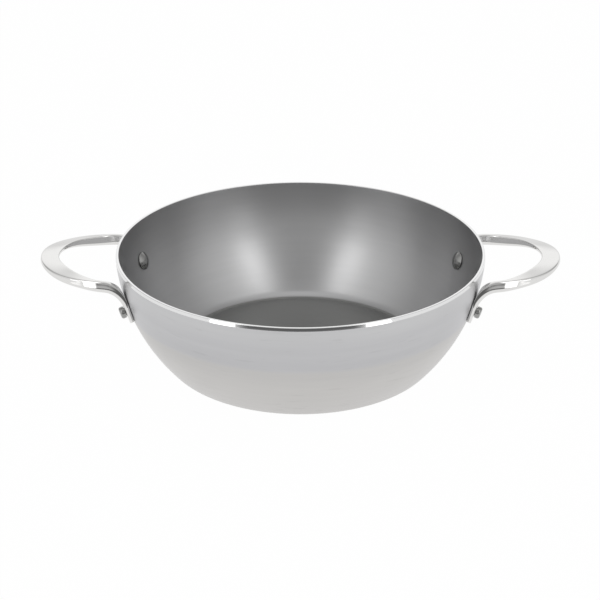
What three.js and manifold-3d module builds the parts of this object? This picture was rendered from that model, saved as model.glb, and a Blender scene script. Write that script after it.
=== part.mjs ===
// Deep frying pan: a pressed carbon-steel bowl with a polished rim and two cast loop handles,
// each held by two solid rivets. Millimetres, +Z up, handles along X.
// The origin is the centre of the flat base, on the hob.
import * as THREE from "three";
import { mergeVertices } from "three/addons/utils/BufferGeometryUtils.js";
import Module from "manifold-3d";

// Bowl
const RIM_RADIUS = 140; // outside of the wall at the rim
const PAN_HEIGHT = 90; // hob to the top of the rim
const WALL_THICKNESS = 2.5; // rolled sheet, the same all over
const BASE_RADIUS = 94; // flat part of the base
const BASE_FILLET = 15; // outside bend between the base and the wall
const WALL_ARC_RADIUS = 142; // outside curve of the wall in section
const RIM_ROUND = 1; // polished outer corner of the rim
const RIM_BREAK = 0.5; // broken inner corner of the rim

// Rivets
const RIVET_PITCH = 89.5; // between the two rivets of one handle
const RIVET_DROP = 31; // rim down to where a rivet's axis meets the wall
const SHANK_RADIUS = 3;
const INNER_HEAD_RADIUS = 7.1; // low dome inside the bowl
const INNER_HEAD_HEIGHT = 3;
const INNER_HEAD_EDGE = 1.1; // upright edge below the dome
const OUTER_HEAD_RADIUS = 4.5; // upset button outside the foot
const OUTER_HEAD_HEIGHT = 3.6;
const OUTER_HEAD_ROUND = 1.6;

// Handles
const HANDLE_REACH = 57.5; // rim out to the tip of the grip
const HANDLE_DROP = 7.9; // rim down to the top of the legs
const GRIP_RISE = 4.2; // how far the tip of the grip stands above the legs
const GRIP_WIDTH = 14.2;
const GRIP_THICKNESS = 3.5;
const GRIP_ROLL = 10; // most the grip's section rolls outward on its way to a leg, in degrees
const LEG_WIDTH = 6.4;
const LEG_HEIGHT = 8.7;
const LEG_CURVE = 100; // radius of the loop's outer edge in plan along a leg
const LEG_SWEEP = 12; // how far a leg's curve turns, in degrees
const TIP_SWEEP = 70; // how far the rounder curve of the tip turns on each side, in degrees
const FOOT_WIDTH = 16;
const FOOT_END = 10.4; // a rivet's axis to the lower end of its foot
const FOOT_THICKNESS = 3.2;
const TOP_BEND = 14.5; // corner of the leg's top line, where it turns down the wall
const UNDER_BEND = 15; // corner of the leg's lower line, where it runs into the foot
const TOP_EDGE = 0.9; // rounds of the section's corners: above on the grip and legs,
const BACK_EDGE = 0.5; // at the back of a foot,
const UNDER_EDGE = 2.2; // and below
const GRIP_BULGE = 0.5; // how far the ridge along each side stands out: at the tip of the grip,
const LEG_BULGE = 1.6; // on the legs
const FOOT_BULGE = 0.5; // and on the feet

const FIT_GAP = 0.3; // between pieces that seat on each other

// How the section changes along the loop from the tip of the grip (0) to the end of a leg (1)
const NARROWING = 2.1; // power that keeps the grip wide for longer before it narrows
const DEEPENING_FROM = 0.1; // where the height starts to grow
const RISING = 1.5; // power that makes the loop climb mostly near its tip
const ROLLING = 1.2; // power that puts the strongest roll nearer to the leg
const BULGING = 0.75; // where the sides reach the legs' bulge
const LEANING_FROM = 0.7; // where the upright upper part of the inner side starts to lean
const RIDGE_DROP = 0.1; // how far below the middle the ridges run, as a share of the height
const FLARING = 2.8; // power that keeps the bend narrow for longer before it spreads to the foot
const SHORTEST_LEG = 1; // straight length kept between the loop and the bend
const BEND_SHARE = 0.8; // most of the drop to the rivets that a bend may take
const ROUND_SHARE = 0.6; // most of a section's half size that a corner round may take

// Facets
const BOWL_FACETS = 80;
const WALL_STEPS = 12;
const FILLET_STEPS = 4;
const ROUND_STEPS = 3;
const RIVET_FACETS = 20;
const GRIP_STEPS = 13;
const BEND_STEPS = 7;
const FOOT_STEPS = 2;
const FOOT_END_STEPS = 5;
const FOOT_END_ANGLE = 80; // how far the last section goes round the foot's end, in degrees
const MERGE_WITHIN = 1e-4; // corners closer than this are one corner
const DRILL_LENGTH = 24; // through the wall and the foot, with room to spare

const wasm = await Module();
wasm.setup();

const mix = THREE.MathUtils.lerp;
const radians = THREE.MathUtils.degToRad;
const smooth = (share) => THREE.MathUtils.smoothstep(share, 0, 1);

// Points along an arc, from one angle to the other, both ends included.
function arcPoints(centre, radius, from, to, steps) {
  return Array.from({ length: steps + 1 }, (_, i) => {
    const angle = mix(from, to, i / steps);
    return new THREE.Vector2(
      centre.x + radius * Math.cos(angle),
      centre.y + radius * Math.sin(angle),
    );
  });
}

// The wall's curve in section: an arc through the rim that runs smoothly into the base fillet.
// x is the distance from the pan's axis and y the height.
function wallCurve() {
  const rim = new THREE.Vector2(RIM_RADIUS, PAN_HEIGHT);
  const fillet = new THREE.Vector2(BASE_RADIUS, BASE_FILLET);
  const toFillet = WALL_ARC_RADIUS - BASE_FILLET;
  const apart = rim.clone().sub(fillet);
  const gap = apart.length();
  const along = apart.clone().divideScalar(gap);
  const foot = (toFillet ** 2 - WALL_ARC_RADIUS ** 2 + gap ** 2) / (2 * gap);
  const aside = Math.sqrt(toFillet ** 2 - foot ** 2);
  const centre = new THREE.Vector2(
    fillet.x + along.x * foot - along.y * aside,
    fillet.y + along.y * foot + along.x * aside,
  );
  const start = fillet.clone().sub(centre).angle() - 2 * Math.PI;
  // How far the wall leans out from upright at a height on its outside.
  const leanAt = (height) => Math.asin((centre.y - height) / WALL_ARC_RADIUS);
  // A point on the wall's outside, or off it by a distance along its normal.
  const at = (lean, off = 0) =>
    new THREE.Vector2(
      centre.x + (WALL_ARC_RADIUS + off) * Math.cos(lean),
      centre.y - (WALL_ARC_RADIUS + off) * Math.sin(lean),
    );
  return { centre, fillet, start, leanAt, at };
}
const wall = wallCurve();

// Where a rivet goes through the wall, and the wall's lean there.
const rivetLean = wall.leanAt(PAN_HEIGHT - RIVET_DROP);
const rivetSeat = wall.at(rivetLean);
const footAngle = Math.asin(RIVET_PITCH / 2 / rivetSeat.x);

function toSolid(geometry) {
  const bare = geometry.clone();
  bare.deleteAttribute("normal");
  bare.deleteAttribute("uv");
  const merged = mergeVertices(bare, MERGE_WITHIN);
  return new wasm.Manifold(
    new wasm.Mesh({
      numProp: 3,
      vertProperties: merged.attributes.position.array,
      triVerts: new Uint32Array(merged.index.array),
    }),
  );
}

function toGeometry(solid) {
  const mesh = solid.getMesh();
  const geometry = new THREE.BufferGeometry();
  geometry.setAttribute("position", new THREE.BufferAttribute(mesh.vertProperties, 3));
  geometry.setIndex(new THREE.BufferAttribute(mesh.triVerts, 1));
  geometry.computeVertexNormals();
  return geometry;
}

// A turned solid about +Z from a profile of (distance from the axis, height), bottom to top outside.
function turned(profile, facets) {
  return new THREE.LatheGeometry(profile, facets).rotateX(Math.PI / 2);
}

// Turns a solid made about +Z onto a rivet's axis, pointing out of the wall on the right-hand side.
// The origin of the solid goes to the outside of the wall.
function ontoRivetAxis(geometry, side) {
  return geometry
    .rotateY(Math.PI / 2 + rivetLean)
    .translate(rivetSeat.x, 0, rivetSeat.y)
    .rotateZ(footAngle * side);
}

function rivetHole(side) {
  const radius = SHANK_RADIUS + FIT_GAP;
  const drill = new THREE.CylinderGeometry(radius, radius, DRILL_LENGTH, RIVET_FACETS);
  return toSolid(ontoRivetAxis(drill.rotateX(Math.PI / 2), side));
}

// The pressed bowl, one sheet thickness all over, with the four rivet holes.
function bowlGeometry() {
  const roundBottom = wall.at(wall.leanAt(PAN_HEIGHT - RIM_ROUND));
  const roundCentre = new THREE.Vector2(roundBottom.x - RIM_ROUND, PAN_HEIGHT - RIM_ROUND);
  const insideRadius = WALL_ARC_RADIUS - WALL_THICKNESS;
  const insideLean = Math.asin((wall.centre.y - PAN_HEIGHT + RIM_BREAK) / insideRadius);
  const insideTop = wall.at(insideLean, -WALL_THICKNESS);
  const breakCentre = new THREE.Vector2(insideTop.x + RIM_BREAK, PAN_HEIGHT - RIM_BREAK);
  const outerEnd = -wall.leanAt(PAN_HEIGHT - RIM_ROUND);
  const profile = [
    new THREE.Vector2(0, 0),
    ...arcPoints(wall.fillet, BASE_FILLET, -Math.PI / 2, wall.start, FILLET_STEPS),
    ...arcPoints(wall.centre, WALL_ARC_RADIUS, wall.start, outerEnd, WALL_STEPS).slice(1, -1),
    ...arcPoints(roundCentre, RIM_ROUND, 0, Math.PI / 2, ROUND_STEPS),
    ...arcPoints(breakCentre, RIM_BREAK, Math.PI / 2, Math.PI, 1),
    ...arcPoints(wall.centre, insideRadius, -insideLean, wall.start, WALL_STEPS).slice(1),
    ...arcPoints(
      wall.fillet,
      BASE_FILLET - WALL_THICKNESS,
      wall.start,
      -Math.PI / 2,
      FILLET_STEPS,
    ).slice(1),
    new THREE.Vector2(0, WALL_THICKNESS),
  ];
  let solid = toSolid(turned(profile, BOWL_FACETS));
  for (const side of [-1, 1]) {
    const hole = rivetHole(side);
    solid = solid.subtract(hole).subtract(hole.rotate([0, 0, 180]));
  }
  return toGeometry(solid);
}

// A rivet about +Z, with z = 0 at the outside of the wall: a low dome inside the bowl,
// the shank through the wall and the foot, and the upset button outside.
function rivetGeometry(side) {
  const sag = INNER_HEAD_RADIUS ** 2 / (2 * (WALL_ARC_RADIUS - WALL_THICKNESS));
  const innerSeat = -WALL_THICKNESS - sag - FIT_GAP;
  const outerSeat = FOOT_THICKNESS + 2 * FIT_GAP;
  const domeRise = INNER_HEAD_HEIGHT - INNER_HEAD_EDGE;
  const domeRadius = (INNER_HEAD_RADIUS ** 2 + domeRise ** 2) / (2 * domeRise);
  const domeTop = innerSeat - INNER_HEAD_HEIGHT;
  const domeCentre = new THREE.Vector2(0, domeTop + domeRadius);
  const domeSweep = Math.asin(INNER_HEAD_RADIUS / domeRadius);
  const buttonTop = outerSeat + OUTER_HEAD_HEIGHT;
  const buttonCorner = new THREE.Vector2(
    OUTER_HEAD_RADIUS - OUTER_HEAD_ROUND,
    buttonTop - OUTER_HEAD_ROUND,
  );
  const profile = [
    ...arcPoints(domeCentre, domeRadius, -Math.PI / 2, domeSweep - Math.PI / 2, ROUND_STEPS),
    new THREE.Vector2(INNER_HEAD_RADIUS, innerSeat),
    new THREE.Vector2(SHANK_RADIUS, innerSeat),
    new THREE.Vector2(SHANK_RADIUS, outerSeat),
    new THREE.Vector2(OUTER_HEAD_RADIUS, outerSeat),
    ...arcPoints(buttonCorner, OUTER_HEAD_ROUND, 0, Math.PI / 2, ROUND_STEPS),
    new THREE.Vector2(0, buttonTop),
  ];
  return ontoRivetAxis(turned(profile, RIVET_FACETS), side);
}

// One section of the handle: where it is, which way its outer edge and its top face, its size,
// and its form. bulge is how far the ridges stand out, upright is the share of it that the upper part
// of the inner side goes without, and wrap is how much of the wall's roundness the section follows,
// from 0 on the grip and legs to 1 on a foot.
function section(centre, outward, top, size, form) {
  return { centre, outward: outward.normalize(), top: top.normalize(), ...size, ...form };
}

// A round corner of a section, going on from a quarter of the way round the section.
function roundCorner(x, y, wanted, quarter) {
  const round = Math.min(wanted, ROUND_SHARE * Math.abs(x), ROUND_SHARE * Math.abs(y));
  const middle = new THREE.Vector2(x - Math.sign(x) * round, y - Math.sign(y) * round);
  const from = (quarter * Math.PI) / 2;
  return arcPoints(middle, round, from, from + Math.PI / 2, ROUND_STEPS - 1);
}

// A section's outline: flat above and below, with round corners and a ridge along each side.
function sectionPoints({ centre, outward, top, width, height, bulge, upright, wrap }) {
  const halfHeight = height / 2;
  const flat = width / 2 - bulge;
  const innerFlat = flat + bulge * upright;
  const ridge = -RIDGE_DROP * height * (1 - wrap);
  const upperRound = mix(TOP_EDGE, BACK_EDGE, wrap);
  const outline = [
    new THREE.Vector2(width / 2, ridge),
    ...roundCorner(flat, halfHeight, upperRound, 0),
    new THREE.Vector2(0, halfHeight),
    ...roundCorner(-innerFlat, halfHeight, upperRound, 1),
    new THREE.Vector2(-width / 2, ridge),
    ...roundCorner(-flat, -halfHeight, UNDER_EDGE, 2),
    new THREE.Vector2(0, -halfHeight),
    ...roundCorner(flat, -halfHeight, UNDER_EDGE, 3),
  ];
  return outline.map(({ x, y }) => {
    const sag = (wrap * x ** 2) / (2 * rivetSeat.x);
    return centre.clone().addScaledVector(outward, x).addScaledVector(top, y + sag);
  });
}

// A handle on the right-hand side is drawn from the tip of its grip to the end of its rear foot.
const legTop = PAN_HEIGHT - HANDLE_DROP;
const tipSweep = radians(TIP_SWEEP);
const loopSweep = radians(TIP_SWEEP + LEG_SWEEP);
const loopHalf = RIVET_PITCH / 2 + (LEG_WIDTH / 2) * Math.sin(loopSweep);
const legAside = LEG_CURVE * (Math.sin(loopSweep) - Math.sin(tipSweep));
const tipRadius = (loopHalf - legAside) / Math.sin(tipSweep);
const loopTip = RIM_RADIUS + HANDLE_REACH;
const footRadial = new THREE.Vector3(Math.cos(footAngle), Math.sin(footAngle), 0);
const footAcross = new THREE.Vector3(-Math.sin(footAngle), Math.cos(footAngle), 0);

// A point of the loop's outer edge in plan and the way out of it there. The edge is a round tip
// that runs into a slower curve along each leg.
function loopEdge(share) {
  const tipLength = tipRadius * tipSweep;
  const length = share * (tipLength + LEG_CURVE * radians(LEG_SWEEP));
  const onLeg = Math.max(length - tipLength, 0) / LEG_CURVE;
  const angle = Math.min(length / tipRadius, tipSweep) + onLeg;
  const out = new THREE.Vector3(Math.cos(angle), Math.sin(angle), 0);
  const edge = new THREE.Vector3(loopTip - tipRadius, 0, 0);
  if (onLeg === 0) {
    return { edge: edge.addScaledVector(out, tipRadius), out };
  }
  const turn = new THREE.Vector3(Math.cos(tipSweep), Math.sin(tipSweep), 0);
  edge.addScaledVector(turn, tipRadius - LEG_CURVE).addScaledVector(out, LEG_CURVE);
  return { edge, out };
}
const legEnd = loopEdge(1);

// The grip and a leg. Towards the leg's end the section narrows, deepens and bulges.
function gripSection(share) {
  const { edge, out } = loopEdge(share);
  const roll = radians(GRIP_ROLL) * Math.sin(Math.PI * share ** ROLLING) ** 2;
  const width = mix(GRIP_WIDTH, LEG_WIDTH, smooth(share ** NARROWING));
  const deeper = smooth((share - DEEPENING_FROM) / (1 - DEEPENING_FROM));
  const height = mix(GRIP_THICKNESS, LEG_HEIGHT, deeper);
  const bulge = mix(GRIP_BULGE, LEG_BULGE, smooth(share / BULGING));
  const upright = 1 - smooth((share - LEANING_FROM) / (1 - LEANING_FROM));
  const outward = out.clone().multiplyScalar(Math.cos(roll)).setZ(-Math.sin(roll));
  const top = out.clone().multiplyScalar(Math.sin(roll)).setZ(Math.cos(roll));
  const centre = edge.addScaledVector(out, -width / 2);
  const climb = Math.max((centre.x - legEnd.edge.x) / (loopTip - legEnd.edge.x), 0);
  centre.setZ(legTop + GRIP_RISE * climb ** RISING - height / 2);
  return section(centre, outward, top, { width, height }, { bulge, upright, wrap: 0 });
}

// One line of the bend from the leg into the foot in side view, at a distance off the wall below.
// x is the distance out from the rivet's seat and y the height.
function bendLine(wanted, height, off) {
  const legLimit = legEnd.edge.x - SHORTEST_LEG - rivetSeat.x * footRadial.x;
  const bend = Math.min(wanted, BEND_SHARE * (height - rivetSeat.y));
  const lean = wall.leanAt(height - bend);
  const end = wall.at(lean, off);
  end.x -= rivetSeat.x;
  const turn = new THREE.Vector2(end.x + (height - end.y) * Math.tan(lean), height);
  const begin = new THREE.Vector2(Math.min(turn.x + bend, legLimit), height);
  return { lean, curve: new THREE.QuadraticBezierCurve(begin, turn, end) };
}
const topLine = bendLine(TOP_BEND, legTop, FIT_GAP);
const underLine = bendLine(UNDER_BEND, legTop - LEG_HEIGHT, FIT_GAP + FOOT_THICKNESS);

// A point of the side view in the pan, between straight along the leg (0) and square to the wall (1).
function fromSideView(point, turned) {
  const alongLeg = footRadial.clone().multiplyScalar(rivetSeat.x).setZ(point.y);
  alongLeg.x += point.x;
  const toWall = footRadial.clone().multiplyScalar(rivetSeat.x + point.x).setZ(point.y);
  return alongLeg.lerp(toWall, turned);
}

// The bend: it turns from along the leg to square to the wall, and spreads to the foot's width.
function bendSection(share) {
  const turned = smooth(share);
  const above = fromSideView(topLine.curve.getPoint(share), turned);
  const below = fromSideView(underLine.curve.getPoint(share), turned);
  const size = { width: mix(LEG_WIDTH, FOOT_WIDTH, share ** FLARING), height: above.distanceTo(below) };
  const form = { bulge: mix(LEG_BULGE, FOOT_BULGE, turned), upright: 0, wrap: turned };
  const outward = legEnd.out.clone().lerp(footAcross, turned);
  const centre = above.clone().lerp(below, 0.5);
  return section(centre, outward, above.clone().sub(below), size, form);
}

// The foot, lying on the wall where the wall leans so much.
function footSection(lean, width) {
  const point = wall.at(lean, FIT_GAP + FOOT_THICKNESS / 2);
  const centre = footRadial.clone().multiplyScalar(point.x).setZ(point.y);
  const top = footRadial.clone().multiplyScalar(-Math.cos(lean)).setZ(Math.sin(lean));
  const size = { width, height: FOOT_THICKNESS };
  return section(centre, footAcross.clone(), top, size, { bulge: FOOT_BULGE, upright: 0, wrap: 1 });
}

// The foot's round end, at an angle round it from the rivet's axis.
function footEndSection(angle) {
  const lean = rivetLean + (FOOT_END * Math.sin(angle)) / WALL_ARC_RADIUS;
  return footSection(lean, FOOT_WIDTH * Math.cos(angle));
}

// Even shares from 0 to 1, both ends included.
function shares(steps) {
  return Array.from({ length: steps + 1 }, (_, i) => i / steps);
}

function halfHandle() {
  const leanTowardsRivet = (share) => mix(underLine.lean, rivetLean, share);
  return [
    ...shares(GRIP_STEPS).map(gripSection),
    ...shares(BEND_STEPS).map(bendSection),
    ...shares(FOOT_STEPS).slice(1).map((share) => footSection(leanTowardsRivet(share), FOOT_WIDTH)),
    ...shares(FOOT_END_STEPS).slice(1).map((share) => footEndSection(share * radians(FOOT_END_ANGLE))),
  ];
}

// Joins rings of points into one closed skin, with a fan over each end.
function loft(rings) {
  const count = rings[0].length;
  const corners = [];
  for (let ring = 0; ring + 1 < rings.length; ring += 1) {
    for (let i = 0; i < count; i += 1) {
      const a = ring * count + i;
      const b = ring * count + ((i + 1) % count);
      corners.push(a, b, a + count, b, b + count, a + count);
    }
  }
  const last = (rings.length - 1) * count;
  for (let i = 1; i + 1 < count; i += 1) {
    corners.push(0, i + 1, i, last, last + i, last + i + 1);
  }
  const geometry = new THREE.BufferGeometry().setFromPoints(rings.flat());
  geometry.setIndex(corners);
  return geometry;
}

// A cast loop handle on the right-hand side: both halves lofted in one run, then drilled for its rivets.
function handleGeometry() {
  const half = halfHandle().map(sectionPoints);
  const mirrored = half.map((ring) => ring.map((p) => new THREE.Vector3(p.x, -p.y, p.z)));
  const rings = [...half.slice(1).reverse(), ...mirrored];
  let solid = toSolid(loft(rings));
  for (const side of [-1, 1]) {
    solid = solid.subtract(rivetHole(side));
  }
  return toGeometry(solid);
}

const carbonSteel = new THREE.MeshStandardMaterial({ color: 0xb4b5b7, roughness: 0.42, metalness: 1 });
const castStainless = new THREE.MeshStandardMaterial({ color: 0xdcdcda, roughness: 0.08, metalness: 1 });
const rivetSteel = new THREE.MeshStandardMaterial({ color: 0x77787a, roughness: 0.4, metalness: 1 });

function piece(name, geometry, material) {
  const mesh = new THREE.Mesh(geometry, material.clone());
  mesh.name = name;
  return mesh;
}

const pan = new THREE.Group();
pan.add(piece("pan_body", bowlGeometry(), carbonSteel));

// The left-hand side is the right-hand side turned half round, so its front and rear change places.
for (const hand of ["right", "left"]) {
  const fitted = new THREE.Group();
  const halfRound = hand === "left";
  fitted.rotation.z = halfRound ? Math.PI : 0;
  fitted.add(piece(`${hand}_handle`, handleGeometry(), castStainless));
  for (const side of [-1, 1]) {
    const end = side > 0 !== halfRound ? "rear" : "front";
    fitted.add(piece(`${hand}_${end}_rivet`, rivetGeometry(side), rivetSteel));
  }
  pan.add(fitted);
}

export default pan;
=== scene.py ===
import math

import bpy
from mathutils import Matrix, Vector


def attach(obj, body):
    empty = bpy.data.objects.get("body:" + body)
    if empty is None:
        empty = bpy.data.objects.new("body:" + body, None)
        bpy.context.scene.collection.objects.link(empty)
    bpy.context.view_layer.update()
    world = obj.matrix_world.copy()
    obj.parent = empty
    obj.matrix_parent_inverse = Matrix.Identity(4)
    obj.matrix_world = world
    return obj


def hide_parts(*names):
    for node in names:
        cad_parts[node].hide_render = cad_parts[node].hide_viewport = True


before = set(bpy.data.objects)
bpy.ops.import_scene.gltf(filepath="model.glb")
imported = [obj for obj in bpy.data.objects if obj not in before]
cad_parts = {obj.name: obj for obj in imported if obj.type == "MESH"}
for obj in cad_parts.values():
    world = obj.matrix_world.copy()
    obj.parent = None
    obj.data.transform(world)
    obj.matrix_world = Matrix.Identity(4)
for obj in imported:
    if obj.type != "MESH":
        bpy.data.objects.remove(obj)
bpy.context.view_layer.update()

MM = 0.001

# Bowl
RIM_RADIUS = 140 * MM  # outside of the wall at the rim
PAN_HEIGHT = 90 * MM  # hob to the top of the rim
SHEET = 2.5 * MM  # rolled sheet, the same all over
BASE_RADIUS = 94 * MM  # flat part of the base
BASE_FILLET = 15 * MM  # outside bend between the base and the wall
WALL_ARC_RADIUS = 142 * MM  # outside curve of the wall in section
RIM_BAND_DOWN = 2.4 * MM  # ground band on the outside of the rim: how far it goes down the wall
RIM_BAND_ACROSS = 0.43 * MM  # and how far it leans in
RIM_ROUND = 0.4 * MM  # outer corner of the rim, above the band
RIM_BREAK = 0.4 * MM  # inner corner of the rim
DISC_MARGIN = 1 * MM  # last ring of the flat disc to where the bend starts
DISC_RINGS = 4
FILLET_STEPS = 14
WALL_STEPS = 36
ROUND_STEPS = 8
BOWL_STEPS = 256

# Rivets
RIVET_PITCH = 89.5 * MM  # between the two rivets of one handle
RIVET_DROP = 31 * MM  # rim down to where a rivet's axis meets the wall
SHANK_RADIUS = 3 * MM
INNER_HEAD_RADIUS = 7.1 * MM  # dome inside the bowl
INNER_HEAD_HEIGHT = 3 * MM
INNER_HEAD_EDGE = 0.45 * MM  # upright edge below the dome
INNER_HEAD_ROUND = 0.7 * MM  # between the edge and the dome
SHOULDER_LIFT = 0.2 * MM  # how far the centre of that round lies inside the edge
SHOULDER_START = -0.9  # angle at which that round leaves the dome, in radians
OUTER_HEAD_RADIUS = 4.5 * MM  # upset button outside the foot
OUTER_HEAD_HEIGHT = 3.6 * MM
OUTER_HEAD_ROUND = 1.6 * MM
OUTER_HEAD_BREAK = 0.2 * MM  # broken corner at its seat
CROWN_RISE = 0.05 * MM  # how far its middle stands up
CROWN_SHARE = 0.4  # part of its radius that the middle takes
DOME_STEPS = 10
SHOULDER_STEPS = 5
RIVET_STEPS = 64
HOLE_STEPS = 48
DRILL_LENGTH = 24 * MM  # through the wall and the foot, with room to spare

# Handles
HANDLE_REACH = 57.5 * MM  # rim out to the tip of the grip
HANDLE_DROP = 7.9 * MM  # rim down to the top of the legs
GRIP_RISE = 4.2 * MM  # how far the tip of the grip stands above the legs
GRIP_WIDTH = 14.2 * MM
GRIP_THICKNESS = 3.5 * MM
GRIP_ROLL = math.radians(10)  # most the grip's section rolls outward on its way to a leg
LEG_WIDTH = 6.4 * MM
LEG_HEIGHT = 8.7 * MM
LEG_CURVE = 100 * MM  # radius of the loop's outer edge in plan along a leg
LEG_SWEEP = math.radians(12)  # how far a leg's curve turns
TIP_SWEEP = math.radians(70)  # how far the rounder curve of the tip turns on each side
FOOT_WIDTH = 16 * MM
FOOT_END = 10.4 * MM  # a rivet's axis to the lower end of its foot
FOOT_THICKNESS = 3.2 * MM
TOP_BEND = 14.5 * MM  # corner of the leg's top line, where it turns down the wall
UNDER_BEND = 15 * MM  # corner of the leg's lower line, where it runs into the foot
TOP_EDGE = 0.9 * MM  # rounds of the section's corners: above on the grip and legs,
BACK_EDGE = 0.5 * MM  # at the back of a foot,
UNDER_EDGE = 2.2 * MM  # and below
GRIP_BULGE = 0.5 * MM  # how far the ridge along each side stands out: at the tip of the grip,
LEG_BULGE = 1.6 * MM  # on the legs
FOOT_BULGE = 0.5 * MM  # and on the feet
END_INSET = 0.35 * MM  # inset that keeps the rim of a foot's end crisp

# How the section changes along the loop from the tip of the grip (0) to the end of a leg (1)
NARROWING = 2.1  # power that keeps the grip wide for longer before it narrows
DEEPENING_FROM = 0.1  # where the height starts to grow
RISING = 1.5  # power that makes the loop climb mostly near its tip
ROLLING = 1.2  # power that puts the strongest roll nearer to the leg
BULGING = 0.75  # where the sides reach the legs' bulge
LEANING_FROM = 0.7  # where the upright upper part of the inner side starts to lean
FLARING = 2.8  # power that keeps the bend narrow for longer before it spreads to the foot
SHORTEST_LEG = 1 * MM  # straight length kept between the loop and the bend
BEND_SHARE = 0.8  # most of the drop to the rivets that a bend may take
GRIP_STEPS = 14
BEND_STEPS = 8
FOOT_STEPS = 2
FOOT_END_STEPS = 5
FOOT_END_ANGLE = math.radians(80)  # how far the last section goes round the foot's end
SMOOTH_LEVELS = 2

# Points of a section: heights are shares of its height, up or down from the middle
SIDE_CUTS = 3  # a side's middle point and its two quarter points
MIDDLE_POINT = 0.1  # nearer to the middle than this: only the middle point
LOWER_POINT = 0.2  # further down than this: the lower quarter point and the corner
QUARTER_POINTS = 0.3  # nearer to the middle than this: all three points
CORNERS = 0.4  # further than this: only the corners
AT_SIDE = 0.9  # share of the half width beyond which a point lies on a side
ON_LINE = 0.01 * MM  # distance within which a point lies on a line
RIDGE_DROP = 0.1  # how far below the middle the ridges run
LOWER_OUT = 0.6  # share of the bulge that the lower quarter point takes on top
LOWER_UP = 0.15  # how far it moves up towards the ridge,
LOWER_FOLLOW = 0.2  # and the share of the ridge's drop that it moves up as well
TOP_ROUND_SHARES = (0.3, 0.4)  # most of the width and height that a top corner's round may take
UNDER_ROUND_SHARES = (0.42, 0.3)  # and a lower corner's
CORNER_STEPS = 3

FIT_GAP = 0.3 * MM  # between pieces that seat on each other
MERGE_WITHIN = 0.001 * MM  # points closer than this are one point
BOWL_CREASE = 15  # edges sharper than this many degrees stay sharp
FITTING_CREASE = 35

UP = Vector((0, 0, 1))
RIGHT_ANGLE = math.pi / 2
HALF_TURN = Matrix.Rotation(math.pi, 4, "Z")


def mix(a, b, share):
    return a + (b - a) * share


def smooth(share):
    share = min(max(share, 0), 1)
    return share * share * (3 - 2 * share)


def arc(centre, radius, start, end, steps):
    """Points of a round corner, from one angle to the other, both ends included."""
    angles = [mix(start, end, i / steps) for i in range(steps + 1)]
    return [(centre[0] + radius * math.cos(a), centre[1] + radius * math.sin(a)) for a in angles]


FILLET_CENTRE = Vector((BASE_RADIUS, BASE_FILLET))


def wall_centre():
    """Centre of the wall's curve in section, which passes through the rim and runs into the base fillet."""
    to_fillet = WALL_ARC_RADIUS - BASE_FILLET
    apart = Vector((RIM_RADIUS, PAN_HEIGHT)) - FILLET_CENTRE
    gap = apart.length
    along = apart / gap
    foot = (to_fillet**2 - WALL_ARC_RADIUS**2 + gap**2) / (2 * gap)
    aside = math.sqrt(to_fillet**2 - foot**2)
    return FILLET_CENTRE + along * foot + Vector((-along.y, along.x)) * aside


WALL_CENTRE = wall_centre()
FILLET_END = math.atan2(FILLET_CENTRE.y - WALL_CENTRE.y, FILLET_CENTRE.x - WALL_CENTRE.x)


def lean_at(height, off=0.0):
    """The wall's lean at a height, off its outside by a distance."""
    return math.asin((WALL_CENTRE.y - height) / (WALL_ARC_RADIUS + off))


def wall_at(lean, off=0.0):
    """The wall's radius and height where it has a lean, off its outside by a distance."""
    reach = WALL_ARC_RADIUS + off
    return Vector((WALL_CENTRE.x + reach * math.cos(lean), WALL_CENTRE.y - reach * math.sin(lean)))


RIVET_LEAN = lean_at(PAN_HEIGHT - RIVET_DROP)
RIVET_SEAT = wall_at(RIVET_LEAN)
FOOT_ANGLE = math.asin(RIVET_PITCH / 2 / RIVET_SEAT.x)


def nothing_selected():
    bpy.ops.object.select_all(action="DESELECT")


def only(piece):
    nothing_selected()
    piece.select_set(True)
    bpy.context.view_layer.objects.active = piece


def editing(piece):
    only(piece)
    bpy.ops.object.mode_set(mode="EDIT")
    bpy.ops.mesh.select_mode(type="VERT")


def done_editing():
    bpy.ops.object.mode_set(mode="OBJECT")


def select_points(piece, wanted):
    """Selects the points that wanted(index, place) is true for. Called in edit mode, and stays there."""
    done_editing()
    mesh = piece.data
    mesh.polygons.foreach_set("select", [False] * len(mesh.polygons))
    mesh.edges.foreach_set("select", [False] * len(mesh.edges))
    mesh.vertices.foreach_set("select", [bool(wanted(v.index, v.co)) for v in mesh.vertices])
    bpy.ops.object.mode_set(mode="EDIT")


def apply_place(piece):
    only(piece)
    bpy.ops.object.transform_apply(location=True, rotation=True, scale=True)


def apply_modifier(piece, modifier):
    only(piece)
    bpy.ops.object.modifier_apply(modifier=modifier.name)


def named(piece, name):
    piece.name = name
    piece.data.name = name
    return piece


def copied(piece, name, place):
    """A copy of a piece with its own mesh, moved to its place."""
    only(piece)
    bpy.ops.object.duplicate()
    copy = named(bpy.context.object, name)
    copy.matrix_world = place
    apply_place(copy)
    return copy


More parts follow.
